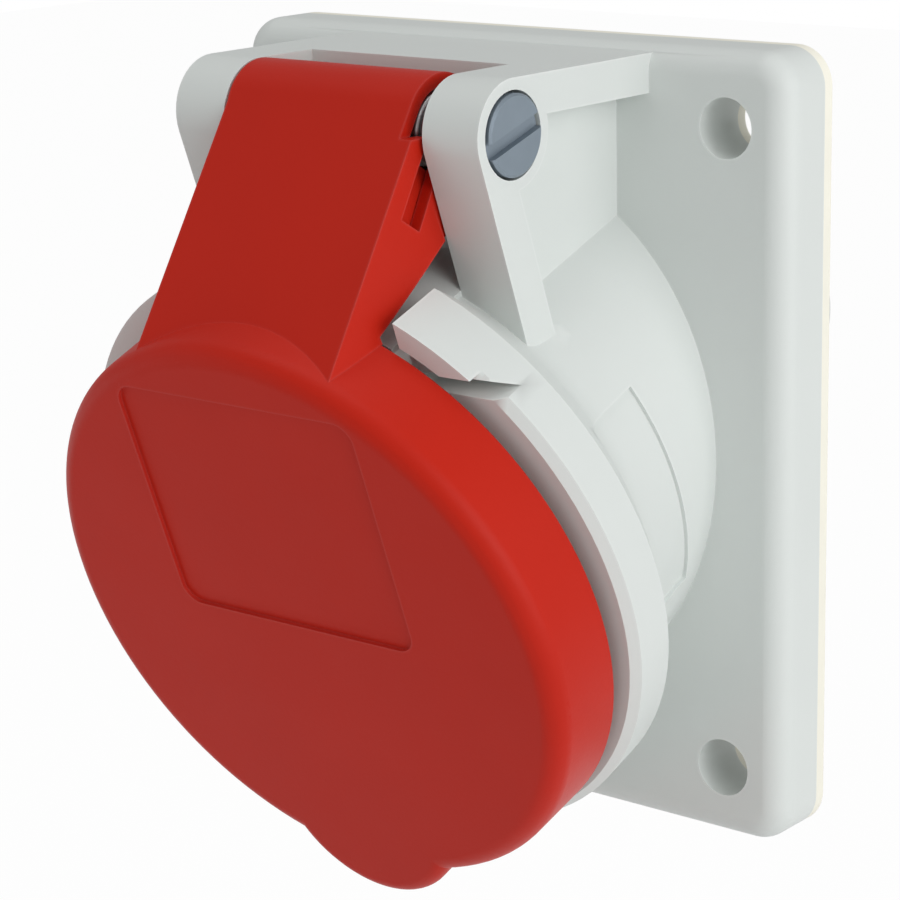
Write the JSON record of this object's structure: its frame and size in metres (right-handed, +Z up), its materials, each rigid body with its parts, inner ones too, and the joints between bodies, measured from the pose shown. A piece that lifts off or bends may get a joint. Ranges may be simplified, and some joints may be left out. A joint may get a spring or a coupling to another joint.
{
  "type": "industrial panel socket",
  "caption": "Grey angled panel-mounting power socket with a square flange, a tilted round mouth and a sprung red lid, closed.",
  "frame": {"origin": "centre of the panel plane: the middle of the flange gasket's rear face, on the centre of the four mounting holes", "axes": "+Z up, the mouth faces -Y and is tilted down by 20 degrees, +X is to the right seen from the front, +Y points into the panel"},
  "size_m": [0.075, 0.0894, 0.092],
  "materials": {
    "grey_housing": "fine satin moulded texture",
    "grey_terminal": "satin moulded plastic",
    "red_lid": "fine satin moulded texture",
    "cream_seal": "matt soft seal",
    "dark_seal": "matt soft seal",
    "pin_steel": "blue-grey passivated",
    "spring_steel": "drawn wire",
    "carrier_plastic": "satin moulded plastic",
    "contact_brass": "turned",
    "cage_metal": "nickel plated",
    "screw_steel": "zinc plated"
  },
  "bodies": {
    "housing": {"housing": "grey_housing", "flange_gasket": "cream_seal", "hinge_pin": "pin_steel", "hinge_spring": "spring_steel", "contact_carrier": "carrier_plastic", "contact_sleeve_pe": "contact_brass", "contact_sleeve_n": "contact_brass", "contact_sleeve_l1": "contact_brass", "contact_sleeve_l2": "contact_brass", "contact_sleeve_l3": "contact_brass", "contact_spring_rings": "spring_steel", "terminal_body": "grey_terminal", "terminal_cage_pe": "cage_metal", "terminal_cage_n": "cage_metal", "terminal_cage_l1": "cage_metal", "terminal_cage_l2": "cage_metal", "terminal_cage_l3": "cage_metal", "terminal_screws": "screw_steel", "carrier_screws": "screw_steel", "body_screw": "screw_steel"},
    "lid": {"lid": "red_lid", "lid_gasket": "dark_seal"}
  },
  "joints": [
    {"name": "lid_hinge", "type": "hinge", "parent": "housing", "child": "lid", "pos_m": [0, -0.0318, 0.0365], "axis": [-1, 0, 0], "range_deg": [0, 120], "stiffness_Nm_per_rad": 0.03, "springref_deg": -34.38, "deforming": ["hinge_spring"]}
  ]
}
